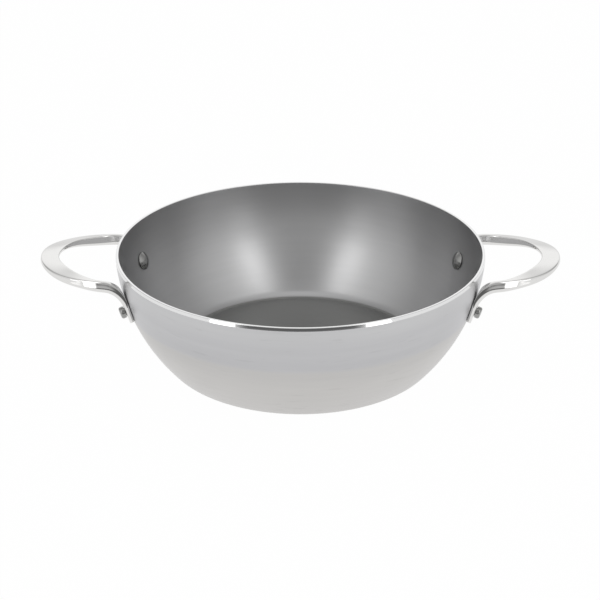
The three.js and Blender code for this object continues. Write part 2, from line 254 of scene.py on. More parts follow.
def spun(name, profile, steps):
    """A turned piece about the Z axis from its half section of (radius, height) points."""
    nothing_selected()
    bpy.ops.mesh.primitive_plane_add(size=MM)
    piece = named(bpy.context.object, name)
    editing(piece)
    bpy.ops.mesh.select_all(action="SELECT")
    bpy.ops.mesh.merge(type="CENTER")
    bpy.ops.transform.translate(value=(profile[0][0], 0, profile[0][1]))
    for (r0, z0), (r1, z1) in zip(profile, profile[1:]):
        bpy.ops.mesh.extrude_region_move(TRANSFORM_OT_translate={"value": (r1 - r0, 0, z1 - z0)})
    bpy.ops.mesh.select_all(action="SELECT")
    bpy.ops.mesh.spin(steps=steps, angle=2 * math.pi, center=(0, 0, 0), axis=(0, 0, 1))
    bpy.ops.mesh.select_all(action="SELECT")
    bpy.ops.mesh.remove_doubles(threshold=MERGE_WITHIN)
    bpy.ops.mesh.normals_make_consistent(inside=False)
    done_editing()
    return piece


def rivet_place(side):
    """From a rivet made about +Z to its axis through the wall of the right-hand side."""
    lean = Matrix.Rotation(RIGHT_ANGLE + RIVET_LEAN, 4, "Y")
    out = Matrix.Translation((RIVET_SEAT.x, 0, RIVET_SEAT.y))
    return Matrix.Rotation(FOOT_ANGLE * side, 4, "Z") @ out @ lean


RIVET_PLACES = {
    "right_rear_rivet": rivet_place(1),
    "right_front_rivet": rivet_place(-1),
    "left_rear_rivet": HALF_TURN @ rivet_place(-1),
    "left_front_rivet": HALF_TURN @ rivet_place(1),
}


def drill(piece, places):
    """Cuts the rivet holes through a piece."""
    for place in places:
        nothing_selected()
        bpy.ops.mesh.primitive_cylinder_add(
            vertices=HOLE_STEPS, radius=SHANK_RADIUS + FIT_GAP, depth=DRILL_LENGTH)
        bit = bpy.context.object
        bit.matrix_world = place
        apply_place(bit)
        cut = piece.modifiers.new("hole", "BOOLEAN")
        cut.operation = "DIFFERENCE"
        cut.solver = "EXACT"
        cut.object = bit
        apply_modifier(piece, cut)
        bpy.data.objects.remove(bit)


def bowl_profile():
    """The sheet's section, from the middle of the base out to the rim and back to the floor's middle."""
    outer_end = lean_at(PAN_HEIGHT - RIM_BAND_DOWN)
    band_foot = wall_at(outer_end)
    band_lean = math.atan2(RIM_BAND_ACROSS, RIM_BAND_DOWN - RIM_ROUND)
    round_centre = (band_foot.x - RIM_BAND_ACROSS - RIM_ROUND, PAN_HEIGHT - RIM_ROUND)
    inner_start = lean_at(PAN_HEIGHT - RIM_BREAK, -SHEET)
    break_centre = (wall_at(inner_start, -SHEET).x + RIM_BREAK, PAN_HEIGHT - RIM_BREAK)
    inside = WALL_ARC_RADIUS - SHEET
    inside_fillet = BASE_FILLET - SHEET
    disc = [(BASE_RADIUS - DISC_MARGIN) * i / DISC_RINGS for i in range(DISC_RINGS + 1)]
    return [
        *[(radius, 0) for radius in disc],
        *arc(FILLET_CENTRE, BASE_FILLET, -RIGHT_ANGLE, FILLET_END, FILLET_STEPS),
        *arc(WALL_CENTRE, WALL_ARC_RADIUS, FILLET_END, -outer_end, WALL_STEPS)[1:],
        *arc(round_centre, RIM_ROUND, band_lean, RIGHT_ANGLE, ROUND_STEPS),
        *arc(break_centre, RIM_BREAK, RIGHT_ANGLE, math.pi, ROUND_STEPS),
        *arc(WALL_CENTRE, inside, -inner_start, FILLET_END, WALL_STEPS)[1:],
        *arc(FILLET_CENTRE, inside_fillet, FILLET_END, -RIGHT_ANGLE, FILLET_STEPS)[1:],
        *[(radius, SHEET) for radius in reversed(disc)],
    ]


def make_bowl():
    bowl = spun("bowl", bowl_profile(), BOWL_STEPS)
    drill(bowl, RIVET_PLACES.values())
    return bowl


def rivet_profile():
    """Half section of a rivet, from the top of its inner head to the top of its outer one."""
    sag = INNER_HEAD_RADIUS**2 / (2 * (WALL_ARC_RADIUS - SHEET))
    inner_seat = -SHEET - sag - FIT_GAP
    outer_seat = FOOT_THICKNESS + 2 * FIT_GAP
    rise = INNER_HEAD_HEIGHT - INNER_HEAD_EDGE
    dome = (INNER_HEAD_RADIUS**2 + rise**2) / (2 * rise)
    dome_centre = (0, inner_seat - INNER_HEAD_HEIGHT + dome)
    shoulder = (INNER_HEAD_RADIUS - INNER_HEAD_ROUND, inner_seat - INNER_HEAD_EDGE + SHOULDER_LIFT)
    sweep = math.asin(shoulder[0] / dome)
    top = outer_seat + OUTER_HEAD_HEIGHT
    corner = (OUTER_HEAD_RADIUS - OUTER_HEAD_ROUND, top - OUTER_HEAD_ROUND)
    return [
        *arc(dome_centre, dome, -RIGHT_ANGLE, sweep - RIGHT_ANGLE, DOME_STEPS),
        *arc(shoulder, INNER_HEAD_ROUND, SHOULDER_START, 0, SHOULDER_STEPS),
        (INNER_HEAD_RADIUS, inner_seat),
        (SHANK_RADIUS, inner_seat),
        (SHANK_RADIUS, outer_seat),
        (OUTER_HEAD_RADIUS - OUTER_HEAD_BREAK, outer_seat),
        (OUTER_HEAD_RADIUS, outer_seat + OUTER_HEAD_BREAK),
        *arc(corner, OUTER_HEAD_ROUND, 0, RIGHT_ANGLE, ROUND_STEPS),
        (CROWN_SHARE * OUTER_HEAD_RADIUS, top + CROWN_RISE),
        (0, top + CROWN_RISE),
    ]


def make_rivets():
    """One rivet, copied to its four places."""
    pattern = spun("rivet_pattern", rivet_profile(), RIVET_STEPS)
    rivets = {name: copied(pattern, name + "_steel", place) for name, place in RIVET_PLACES.items()}
    bpy.data.objects.remove(pattern)
    return rivets


def level_way(angle):
    """A level direction, turned by an angle from the X axis."""
    return Vector((math.cos(angle), math.sin(angle), 0))


LEG_TOP = PAN_HEIGHT - HANDLE_DROP
LOOP_TIP = RIM_RADIUS + HANDLE_REACH
LOOP_SWEEP = TIP_SWEEP + LEG_SWEEP
LOOP_HALF = RIVET_PITCH / 2 + LEG_WIDTH / 2 * math.sin(LOOP_SWEEP)  # half its width at the legs' ends
LEG_CURVE_HALF = LEG_CURVE * (math.sin(LOOP_SWEEP) - math.sin(TIP_SWEEP))  # what a leg's curve takes of it
TIP_RADIUS = (LOOP_HALF - LEG_CURVE_HALF) / math.sin(TIP_SWEEP)
FOOT_RADIAL = level_way(FOOT_ANGLE)
FOOT_ACROSS = Vector((-math.sin(FOOT_ANGLE), math.cos(FOOT_ANGLE), 0))


def section(centre, outward, top, width, height, bulge, upright=0.0, turned=0.0):
    """One section of a handle. Its sides bulge, and upright is the share of that which the upper part
    of the inner side goes without. turned goes from 0 on the grip and leg to 1 on the foot."""
    return {"centre": centre, "outward": outward.normalized(), "top": top.normalized(), "width": width,
            "height": height, "bulge": bulge, "upright": upright, "turned": turned}


def loop_edge(share):
    """A point of the loop's outer edge in plan and the way out of it: a round tip, then a slower curve."""
    tip_length = TIP_RADIUS * TIP_SWEEP
    length = share * (tip_length + LEG_CURVE * LEG_SWEEP)
    tip_centre = Vector((LOOP_TIP - TIP_RADIUS, 0, 0))
    if length < tip_length:
        out = level_way(length / TIP_RADIUS)
        return tip_centre + out * TIP_RADIUS, out
    out = level_way(TIP_SWEEP + (length - tip_length) / LEG_CURVE)
    turn = level_way(TIP_SWEEP)
    return tip_centre + turn * (TIP_RADIUS - LEG_CURVE) + out * LEG_CURVE, out


LEG_END, LEG_OUT = loop_edge(1)


def grip_section(share):
    """A section of the loop, from the tip of the grip (0) to the end of a leg (1)."""
    edge, level = loop_edge(share)
    roll = GRIP_ROLL * math.sin(math.pi * share**ROLLING) ** 2
    width = mix(GRIP_WIDTH, LEG_WIDTH, smooth(share**NARROWING))
    height = mix(GRIP_THICKNESS, LEG_HEIGHT, smooth((share - DEEPENING_FROM) / (1 - DEEPENING_FROM)))
    middle = edge - level * width / 2
    rise = GRIP_RISE * max((middle.x - LEG_END.x) / (LOOP_TIP - LEG_END.x), 0) ** RISING
    centre = middle + UP * (LEG_TOP + rise - height / 2)
    outward = level * math.cos(roll) - UP * math.sin(roll)
    top = level * math.sin(roll) + UP * math.cos(roll)
    bulge = mix(GRIP_BULGE, LEG_BULGE, smooth(share / BULGING))
    upright = 1 - smooth((share - LEANING_FROM) / (1 - LEANING_FROM))
    return section(centre, outward, top, width, height, bulge, upright)


def bend_line(wanted, height, off):
    """One line of the bend from a leg into its foot, in side view: out from the rivet's seat, and height."""
    limit = LEG_END.x - SHORTEST_LEG - RIVET_SEAT.x * FOOT_RADIAL.x
    bend = min(wanted, BEND_SHARE * (height - RIVET_SEAT.y))
    lean = lean_at(height - bend)
    end = wall_at(lean, off) - Vector((RIVET_SEAT.x, 0))
    turn = Vector((end.x + (height - end.y) * math.tan(lean), height))
    begin = Vector((min(turn.x + bend, limit), height))
    return lean, begin, turn, end


TOP_LINE = bend_line(TOP_BEND, LEG_TOP, FIT_GAP)
UNDER_LINE = bend_line(UNDER_BEND, LEG_TOP - LEG_HEIGHT, FIT_GAP + FOOT_THICKNESS)


def on_bend(line, share):
    _, begin, turn, end = line
    return begin.lerp(turn, share).lerp(turn.lerp(end, share), share)


def from_side_view(point, turned):
    """Puts a point of the side view on the pan: straight out along the leg (0), or out from the wall (1)."""
    along_leg = FOOT_RADIAL * RIVET_SEAT.x + Vector((point.x, 0, point.y))
    to_wall = FOOT_RADIAL * (RIVET_SEAT.x + point.x) + UP * point.y
    return along_leg.lerp(to_wall, turned)


def bend_section(share):
    """A section of the bend, from the end of a leg (0) to the start of its foot (1)."""
    turned = smooth(share)
    above = from_side_view(on_bend(TOP_LINE, share), turned)
    below = from_side_view(on_bend(UNDER_LINE, share), turned)
    outward = LEG_OUT.lerp(FOOT_ACROSS, turned)
    width = mix(LEG_WIDTH, FOOT_WIDTH, share**FLARING)
    bulge = mix(LEG_BULGE, FOOT_BULGE, turned)
    height = (above - below).length
    return section((above + below) / 2, outward, above - below, width, height, bulge, 0.0, turned)


def foot_section(lean, width):
    """A section of a foot, flat on the wall where the wall has a lean."""
    point = wall_at(lean, FIT_GAP + FOOT_THICKNESS / 2)
    centre = FOOT_RADIAL * point.x + UP * point.y
    top = UP * math.sin(lean) - FOOT_RADIAL * math.cos(lean)
    return section(centre, FOOT_ACROSS, top, width, FOOT_THICKNESS, FOOT_BULGE, 0.0, 1.0)


def half_handle():
    """The sections from the tip of the grip to the end of the rear foot."""
    found = [grip_section(i / GRIP_STEPS) for i in range(GRIP_STEPS + 1)]
    found += [bend_section(i / BEND_STEPS) for i in range(1, BEND_STEPS + 1)]
    for i in range(1, FOOT_STEPS + 1):
        found.append(foot_section(mix(UNDER_LINE[0], RIVET_LEAN, i / FOOT_STEPS), FOOT_WIDTH))
    for i in range(1, FOOT_END_STEPS + 1):
        angle = FOOT_END_ANGLE * i / FOOT_END_STEPS
        lean = RIVET_LEAN + FOOT_END * math.sin(angle) / WALL_ARC_RADIUS
        found.append(foot_section(lean, FOOT_WIDTH * math.cos(angle)))
    return found


def mirrored(part):
    """The same section on the front half of the handle."""
    flip = Vector((1, -1, 1))
    return {**part, **{key: part[key] * flip for key in ("centre", "outward", "top")}}


def place_of(part):
    along = part["outward"].cross(part["top"])
    turn = Matrix((part["outward"], part["top"], along)).transposed().to_4x4()
    return Matrix.Translation(part["centre"]) @ turn


def flat_ring(width, height):
    """A rectangle of edges with a point in the middle of its top and bottom. It is left in edit mode."""
    nothing_selected()
    bpy.ops.mesh.primitive_plane_add(size=1)
    ring = bpy.context.object
    ring.scale = (width, height, 1)
    apply_place(ring)
    editing(ring)
    bpy.ops.mesh.select_all(action="SELECT")
    bpy.ops.mesh.delete(type="ONLY_FACE")
    for level in (-height / 2, height / 2):
        select_points(ring, lambda _, co: abs(co.y - level) < ON_LINE)
        bpy.ops.mesh.subdivide(number_cuts=1)
    return ring


def draw_out_side(ring, part, side):
    """Cuts one upright side of a ring in four and draws it out to a ridge. side is its place across."""
    height = part["height"]
    out = math.copysign(part["bulge"], side) / 2
    drop = RIDGE_DROP * height * (1 - part["turned"])

    def move_points(near, by):
        select_points(ring, lambda _, co: abs(co.y) < near * height and co.x * side > AT_SIDE * side * side)
        bpy.ops.transform.translate(value=by)

    select_points(ring, lambda _, co: abs(co.x - side) < ON_LINE)
    bpy.ops.mesh.subdivide(number_cuts=SIDE_CUTS)
    move_points(QUARTER_POINTS, (out, 0, 0))
    move_points(MIDDLE_POINT, (out, 0, 0))
    move_points(QUARTER_POINTS, (0, -drop, 0))
    select_points(ring, lambda _, co: -CORNERS * height < co.y < -LOWER_POINT * height and co.x * side > 0)
    bpy.ops.transform.translate(value=(LOWER_OUT * out, LOWER_UP * height + LOWER_FOLLOW * drop, 0))


def round_corners(ring, level, wanted, shares, width, height):
    """Rounds the two corners of a ring at one level, within their shares of its width and height."""
    width_share, height_share = shares
    offset = min(wanted, width_share * width, height_share * height)
    select_points(ring, lambda _, co: abs(co.y - level) < ON_LINE and abs(co.x) > AT_SIDE * width / 2)
    bpy.ops.mesh.bevel(offset=offset, segments=CORNER_STEPS, affect="VERTICES")


def section_ring(part):
    """A ring of points for one section: flat on top, its sides bulged and its lower corners well rounded."""
    height, bulge, turned = part["height"], part["bulge"], part["turned"]
    width = part["width"] - 2 * bulge
    ring = flat_ring(width, height)
    for side in (-width / 2, width / 2):
        draw_out_side(ring, part, side)
    for above in (MIDDLE_POINT, CORNERS):
        select_points(ring, lambda _, co: co.y > above * height and co.x < -AT_SIDE * width / 2)
        bpy.ops.transform.translate(value=(-bulge * part["upright"] / 2, 0, 0))
    top_edge = mix(TOP_EDGE, BACK_EDGE, turned)
    round_corners(ring, height / 2, top_edge, TOP_ROUND_SHARES, width, height)
    round_corners(ring, -height / 2, UNDER_EDGE, UNDER_ROUND_SHARES, width, height)
    done_editing()
    # On the foot the section follows the round of the wall.
    for point in ring.data.vertices:
        point.co.y += turned * point.co.x**2 / (2 * RIVET_SEAT.x)
    ring.matrix_world = place_of(part)
    apply_place(ring)
    return ring


def make_handle():
    """The right-hand handle: rings bridged from foot to foot, closed, smoothed and drilled."""
    half = half_handle()
    parts = [*reversed(half[1:]), *[mirrored(part) for part in half]]
    rings = [section_ring(part) for part in parts]
    handle = named(rings[0], "right_handle_casting")
    count = len(handle.data.vertices)
    for ring in rings[1:]:
        only(handle)
        ring.select_set(True)
        bpy.ops.object.join()
    editing(handle)
    for k in range(len(parts) - 1):
        select_points(handle, lambda i, _: k * count <= i < (k + 2) * count)
        bpy.ops.mesh.bridge_edge_loops()
    for k in (0, len(parts) - 1):
        select_points(handle, lambda i, _: k * count <= i < (k + 1) * count)
        bpy.ops.mesh.edge_face_add()
        bpy.ops.mesh.inset(thickness=END_INSET)
    bpy.ops.mesh.select_all(action="SELECT")
    bpy.ops.mesh.normals_make_consistent(inside=False)
    done_editing()
    soft = handle.modifiers.new("smooth", "SUBSURF")
    soft.levels = soft.render_levels = SMOOTH_LEVELS
    apply_modifier(handle, soft)
    drill(handle, [RIVET_PLACES["right_rear_rivet"], RIVET_PLACES["right_front_rivet"]])
    return handle


class Graph:
    """Short ways to add and join nodes in one node tree."""

    def __init__(self, tree):
        self.tree = tree

    def add(self, kind, **values):
        made = self.tree.nodes.new(kind)
        for key, value in values.items():
            setattr(made, key, value)
        return made

    def feed(self, socket, value):
        """Sets a socket to a plain value, or links it to another node's output."""
        if isinstance(value, bpy.types.NodeSocket):
            self.tree.links.new(value, socket)
        else:
            socket.default_value = value

    def fill(self, made, *values):
        """Feeds a node's first inputs in their order, and gives the node back."""
        for socket, value in zip(made.inputs, values):
            self.feed(socket, value)
        return made

    def math(self, operation, *values):
        return self.fill(self.add("ShaderNodeMath", operation=operation), *values).outputs[0]

    def vector_math(self, operation, *values):
        return self.fill(self.add("ShaderNodeVectorMath", operation=operation), *values).outputs

    def split(self, vector):
        return self.fill(self.add("ShaderNodeSeparateXYZ"), vector).outputs

    def join(self, *values):
        return self.fill(self.add("ShaderNodeCombineXYZ"), *values).outputs[0]

    def squares(self, x, y):
        return self.math("ADD", self.math("MULTIPLY", x, x), self.math("MULTIPLY", y, y))

    def ramp(self, value, from_low, from_high, to_low=0.0, to_high=1.0):
        """A soft step of a value from one number to another."""
        made = self.add("ShaderNodeMapRange", interpolation_type="SMOOTHSTEP")
        return self.fill(made, value, from_low, from_high, to_low, to_high).outputs["Result"]

    def blend(self, share, low, high):
        """A number between two, by a share from 0 to 1."""
        made = self.add("ShaderNodeMix", data_type="FLOAT")
        self.feed(made.inputs[0], share)
        self.feed(made.inputs[2], low)
        self.feed(made.inputs[3], high)
        return made.outputs[0]

    def tint(self, share, low, high):
        """A colour between two, by a share from 0 to 1."""
        made = self.add("ShaderNodeMix", data_type="RGBA")
        self.feed(made.inputs[0], share)
        for socket, value in ((made.inputs[6], low), (made.inputs[7], high)):
            self.feed(socket, value if isinstance(value, bpy.types.NodeSocket) else (*value, 1))
        return made.outputs[2]

    def noise(self, vector, scale, detail, w=None):
        made = self.add("ShaderNodeTexNoise", noise_dimensions="3D" if w is None else "4D")
        self.feed(made.inputs["Vector"], vector)
        self.feed(made.inputs["Scale"], scale)
        self.feed(made.inputs["Detail"], detail)
        if w is not None:
            self.feed(made.inputs["W"], w)
        return made.outputs["Fac"]

    def group(self, group, **values):
        made = self.add("ShaderNodeGroup", node_tree=group)
        for name, value in values.items():
            self.feed(made.inputs[name.capitalize()], value)
        return made.outputs

    def choose_shader(self, share, low, high):
        """One shader or the other, by a share from 0 to 1."""
        return self.fill(self.add("ShaderNodeMixShader"), share, low, high).outputs[0]


# Marks in the steel
RINGS = 900.0  # turned rings in a metre
RING_BREAKS = 3.0  # how often they break off on their way round
STREAK_ALONG = 0.8  # wide streaks, counted against the rings: along them
STREAK_ACROSS = 0.3  # and across them
STROKE_ALONG = 2.2  # short dark strokes, counted the same way
STROKE_ACROSS = 0.42
STROKE_EDGE = (0.65, 0.75)  # noise between which a stroke fades in
SCRATCHES = (60, 900, 900)  # in a metre, along and across
SCRATCH_TURN = (0.4, 0.9, 0.3)
SCRATCH_EDGE = (0.68, 0.76)  # noise between which a scratch fades in
SMUDGES = 40.0  # in a metre, where a material gives no other count
NEAR_AXIS = 1 * MM  # nearer to the axis than this, the way out from it doesn't matter


def new_group(name, inputs, outputs):
    """An empty node group with a Place input and number sockets: inputs are {name: usual value}."""
    group = bpy.data.node_groups.new(name, "ShaderNodeTree")
    group.interface.new_socket("Place", in_out="INPUT", socket_type="NodeSocketVector")
    for socket, usual in inputs.items():
        made = group.interface.new_socket(socket, in_out="INPUT", socket_type="NodeSocketFloat")
        made.default_value = usual
    for socket in outputs:
        group.interface.new_socket(socket, in_out="OUTPUT", socket_type="NodeSocketFloat")
    graph = Graph(group)
    return graph, graph.add("NodeGroupInput").outputs, graph.add("NodeGroupOutput").inputs


def turned_marks():
    """Fine rings that a turning tool leaves round the Z axis, broken up along their length."""
    inputs = {"Rings": RINGS, "Breaks": RING_BREAKS}
    graph, given, out = new_group("turned_marks", inputs, ["Height", "Streaks", "Strokes"])
    x, y, z = graph.split(given["Place"])
    radius = graph.math("SQRT", graph.squares(x, y))
    safe = graph.math("MAXIMUM", radius, NEAR_AXIS)
    round_x = graph.math("MULTIPLY", graph.math("DIVIDE", x, safe), given["Breaks"])
    round_y = graph.math("MULTIPLY", graph.math("DIVIDE", y, safe), given["Breaks"])
    line = graph.join(round_x, round_y, graph.math("MULTIPLY", z, given["Rings"]))
    across = graph.math("MULTIPLY", radius, given["Rings"])
    graph.feed(out["Height"], graph.noise(line, scale=1.0, detail=3.0, w=across))
    wide = graph.vector_math("MULTIPLY", line, (STREAK_ALONG, STREAK_ALONG, STREAK_ACROSS))["Vector"]
    wide_across = graph.math("MULTIPLY", across, STREAK_ACROSS)
    graph.feed(out["Streaks"], graph.noise(wide, scale=1.0, detail=2.0, w=wide_across))
    short = graph.vector_math("MULTIPLY", line, (STROKE_ALONG, STROKE_ALONG, STROKE_ACROSS))["Vector"]
    graph.feed(out["Strokes"], graph.ramp(graph.noise(short, scale=1.0, detail=1.0), *STROKE_EDGE))
    return graph.tree


def handling():
    """Faint cloudy smudges and hair-fine scratches from use."""
    graph, given, out = new_group("handling", {"Size": SMUDGES}, ["Smudge", "Scratch"])
    graph.feed(out["Smudge"], graph.noise(given["Place"], scale=given["Size"], detail=3.0))
    stretched = graph.add("ShaderNodeMapping")
    graph.feed(stretched.inputs["Vector"], given["Place"])
    graph.feed(stretched.inputs["Rotation"], SCRATCH_TURN)
    graph.feed(stretched.inputs["Scale"], SCRATCHES)
    lines = graph.noise(stretched.outputs[0], scale=1.0, detail=1.0)
    graph.feed(out["Scratch"], graph.ramp(lines, *SCRATCH_EDGE))
    return graph.tree


TURNED = turned_marks()
HANDLING = handling()

# Steel of the bowl: outside tones from the rim to the base are painted reflection; then the inside and the
# rim itself
# Lighter near the rim, a darker band at mid height, lighter and warmer towards the base: painted reflection
TOP_TONE = (0.558, 0.558, 0.565)
UPPER_TONE = (0.520, 0.520, 0.531)
BAND_TONE = (0.501, 0.501, 0.513)
LOWER_TONE = (0.529, 0.521, 0.513)
BASE_TONE = (0.553, 0.543, 0.532)
# The inside, and its floor still more, are darker than the outside: painted shade
INNER_PAINTED_SHADE = (0.46, 0.46, 0.463)
FLOOR_PAINTED_SHADE = (0.348, 0.351, 0.341)
RIM_TONE = (0.75, 0.75, 0.75)
UPPER_FADE = (85 * MM, 70 * MM)  # heights between which the outside turns to each next tone
BAND_FADE = (66 * MM, 56 * MM)
LOWER_FADE = (54.5 * MM, 49.5 * MM)
BASE_FADE = (50 * MM, 30 * MM)
FLOOR_FADE = (99.5 * MM, 97.5 * MM)  # radii between which the wall turns to the floor's painted shade and smoother satin
RIM_FADE = (PAN_HEIGHT - RIM_BAND_DOWN - 0.02 * MM, PAN_HEIGHT - RIM_BAND_DOWN + 0.03 * MM)
RIM_INNER_FADE = (RIM_RADIUS - SHEET, RIM_RADIUS - SHEET + 0.2 * MM)  # radii
OUTER_SATIN = 0.34  # roughness of each face
INNER_SATIN = 0.33
FLOOR_SATIN = 0.25
RIM_POLISH = 0.06
BOWL_SMUDGES = 30.0  # in a metre
BOWL_SMUDGE = 0.06  # roughness between the least and the most smudged spots
STREAK_DEPTH = 0.08  # tone between the darkest and the lightest streaks
STROKE_DEPTH = 0.05  # how much darker a stroke is
GROOVE_STRENGTH = 0.12
GROOVE_DEPTH = 0.05 * MM

# Stainless of the handles
STAINLESS_DARK = (0.70, 0.695, 0.685)
STAINLESS_LIGHT = (0.74, 0.735, 0.725)
STAINLESS_POLISH = 0.04  # roughness where it is clean,
STAINLESS_HAZE = 0.05  # and what the most smudged spots
STAINLESS_SCRATCH = 0.06  # and the scratches add
STAINLESS_SMUDGES = 70.0  # in a metre
WAVES = 160.0  # of the casting's skin, in a metre
WAVE_STRENGTH = 0.05
WAVE_DEPTH = 0.2 * MM

# Steel of the rivets
RIVET_DARK = (0.29, 0.29, 0.284)
RIVET_LIGHT = (0.35, 0.35, 0.344)
RIVET_SATIN = 0.14  # least roughness,
RIVET_GRAIN = 0.1  # and what the grain adds
PITS = 2500.0  # in a metre
PIT_STRENGTH = 0.15
PIT_DEPTH = 0.05 * MM


def new_material(name):
    """A metal material: its graph, its shader and the object's own coordinates."""
    material = bpy.data.materials.new(name)
    material.use_nodes = True
    graph = Graph(material.node_tree)
    shader = material.node_tree.nodes["Principled BSDF"]
    shader.inputs["Metallic"].default_value = 1
    return material, graph, shader, graph.add("ShaderNodeTexCoord").outputs


def bump(graph, shader, height, strength, distance):
    made = graph.add("ShaderNodeBump")
    graph.feed(made.inputs["Height"], height)
    made.inputs["Strength"].default_value = strength
    made.inputs["Distance"].default_value = distance
    graph.feed(shader.inputs["Normal"], made.outputs[0])


def outer_painted_reflection(graph, z):
    """The outside's colour by height, which is painted reflection: cool above, a soft step, and warm below.
    """
    upper = graph.tint(graph.ramp(z, *UPPER_FADE), TOP_TONE, UPPER_TONE)
    upper = graph.tint(graph.ramp(z, *BAND_FADE), upper, BAND_TONE)
    lower = graph.tint(graph.ramp(z, *BASE_FADE), LOWER_TONE, BASE_TONE)
    return graph.tint(graph.ramp(z, *LOWER_FADE), upper, lower)


def bowl_steel():
    """Satin steel with turned marks, smoother on the floor, polished bright on the rim."""
    material, graph, shader, place = new_material("bowl_steel")
    x, y, z = graph.split(place["Object"])
    radius = graph.math("SQRT", graph.squares(x, y))
    safe = graph.math("MAXIMUM", radius, NEAR_AXIS)
    # A face is on the inside where it looks in and up, and not out and down.
    out_and_down = graph.join(graph.math("DIVIDE", x, safe), graph.math("DIVIDE", y, safe), -1.0)
    facing = graph.vector_math("DOT_PRODUCT", out_and_down, place["Normal"])
    inside = graph.math("LESS_THAN", facing["Value"], 0.0)
    outside = graph.math("SUBTRACT", 1.0, inside)
    floor = graph.math("MULTIPLY", inside, graph.ramp(radius, *FLOOR_FADE))
    rim = graph.math("MULTIPLY", graph.ramp(z, *RIM_FADE), graph.ramp(radius, *RIM_INNER_FADE))
    marks = graph.group(TURNED, place=place["Object"], rings=RINGS, breaks=RING_BREAKS)
    wear = graph.group(HANDLING, place=place["Object"], size=BOWL_SMUDGES)

    # Outside: painted reflection by height. Inside and its floor: painted shade.
    colour = graph.tint(inside, outer_painted_reflection(graph, z), graph.tint(floor, INNER_PAINTED_SHADE, FLOOR_PAINTED_SHADE))
    shade = graph.math("MULTIPLY_ADD", marks["Streaks"], STREAK_DEPTH, 1 - STREAK_DEPTH / 2)
    strokes = graph.math("MULTIPLY", marks["Strokes"], outside)
    shade = graph.math("MULTIPLY_ADD", strokes, -STROKE_DEPTH, shade)
    shaded = graph.add("ShaderNodeVectorMath", operation="SCALE")
    graph.feed(shaded.inputs["Vector"], colour)
    graph.feed(shaded.inputs["Scale"], shade)
    graph.feed(shader.inputs["Base Color"], graph.tint(rim, shaded.outputs["Vector"], RIM_TONE))

    satin = graph.blend(floor, graph.blend(inside, OUTER_SATIN, INNER_SATIN), FLOOR_SATIN)
    smudge = graph.math("MULTIPLY_ADD", wear["Smudge"], BOWL_SMUDGE, -BOWL_SMUDGE / 2)
    satin = graph.math("ADD", satin, smudge)
    graph.feed(shader.inputs["Roughness"], graph.blend(rim, satin, RIM_POLISH))
    grooves = graph.math("MULTIPLY", marks["Height"], graph.math("SUBTRACT", 1.0, rim))
    bump(graph, shader, grooves, GROOVE_STRENGTH, GROOVE_DEPTH)
    return material


def polished_stainless():
    """Mirror-polished casting with a slight waviness, a breath of haze and hair scratches."""
    material, graph, shader, place = new_material("polished_stainless")
    wear = graph.group(HANDLING, place=place["Object"], size=STAINLESS_SMUDGES)
    graph.feed(shader.inputs["Base Color"], graph.tint(wear["Smudge"], STAINLESS_DARK, STAINLESS_LIGHT))
    hazy = graph.math("MULTIPLY_ADD", wear["Smudge"], STAINLESS_HAZE, STAINLESS_POLISH)
    scratched = graph.math("MULTIPLY_ADD", wear["Scratch"], STAINLESS_SCRATCH, hazy)
    graph.feed(shader.inputs["Roughness"], scratched)
    waves = graph.noise(place["Object"], scale=WAVES, detail=1.0)
    bump(graph, shader, waves, WAVE_STRENGTH, WAVE_DEPTH)
    return material


def rivet_steel():
    """Dull steel with tumbled pits."""
    material, graph, shader, place = new_material("rivet_steel")
    grain = graph.noise(place["Object"], scale=PITS, detail=3.0)
    graph.feed(shader.inputs["Base Color"], graph.tint(grain, RIVET_DARK, RIVET_LIGHT))
    graph.feed(shader.inputs["Roughness"], graph.math("MULTIPLY_ADD", grain, RIVET_GRAIN, RIVET_SATIN))
    bump(graph, shader, grain, PIT_STRENGTH, PIT_DEPTH)
    return material


bowl = make_bowl()
rivets = make_rivets()
right_handle = make_handle()
left_handle = copied(right_handle, "left_handle_casting", HALF_TURN)

bowl_finish = bowl_steel()
handle_finish = polished_stainless()
rivet_finish = rivet_steel()
dressed = [
    (bowl, "pan_body", "bowl_steel", bowl_finish),
    (right_handle, "right_handle", "handle_steel", handle_finish),
    (left_handle, "left_handle", "handle_steel", handle_finish),
]
for name, rivet in rivets.items():
    dressed.append((rivet, name, "rivet_steel", rivet_finish))

for piece, node_name, slot, finish in dressed:
    only(piece)
    crease = BOWL_CREASE if piece is bowl else FITTING_CREASE
    bpy.ops.object.shade_smooth_by_angle(angle=math.radians(crease))
    piece.data.materials.clear()
    piece.data.materials.append(finish)
    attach(piece, "root")
    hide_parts(node_name)


# Camera at the photograph's angle
CAMERA_ELEVATION = math.radians(25.13)
CAMERA_DISTANCE = 1.2417
CAMERA_LENS = 96.64
CAMERA_SENSOR = 36
AIM = Vector((-0.35 * MM, 0, 46.0 * MM))

# Room that the metal sees: angles from the camera's side, and heights from 0 level to 1 overhead
SIDE_FRONT_LEVEL = 0.91
SIDE_BACK_LEVEL = 0.48
SIDE_FRONT_ANGLE = math.radians(66)
SIDE_BACK_ANGLE = math.radians(122)
HORIZON_LEVEL = 0.8
HORIZON_FADE = (0.02, 0.12)
CEILING_LEVEL = 0.85
CEILING_FADE = (0.85, 0.97)
BACKDROP_LEVEL = 1.15
BACKDROP_LOW_LEVEL = 0.9
BACKDROP_RISE = (0.25, 0.4)
BACKDROP_FADE = (0.5, 0.85)  # how far a direction points away from the camera
STRAIGHT_UP = 1e-6  # added so that the way straight up has an angle too

# Dark gap in that room between the lamps, on the camera's side
GAP_LEVEL = 0.13
GAP_UPPER_LEVEL = 0.56
GAP_RISE = (0.08, 0.16)
GAP_SHADE = 0.17  # how much darker it gets again towards its top
GAP_SHADE_FADE = (0.3, 0.8)
GAP_OUTSIDE = math.radians(42)
GAP_INSIDE = math.radians(29)
GAP_TOP_FADE = (0.95, 0.85)

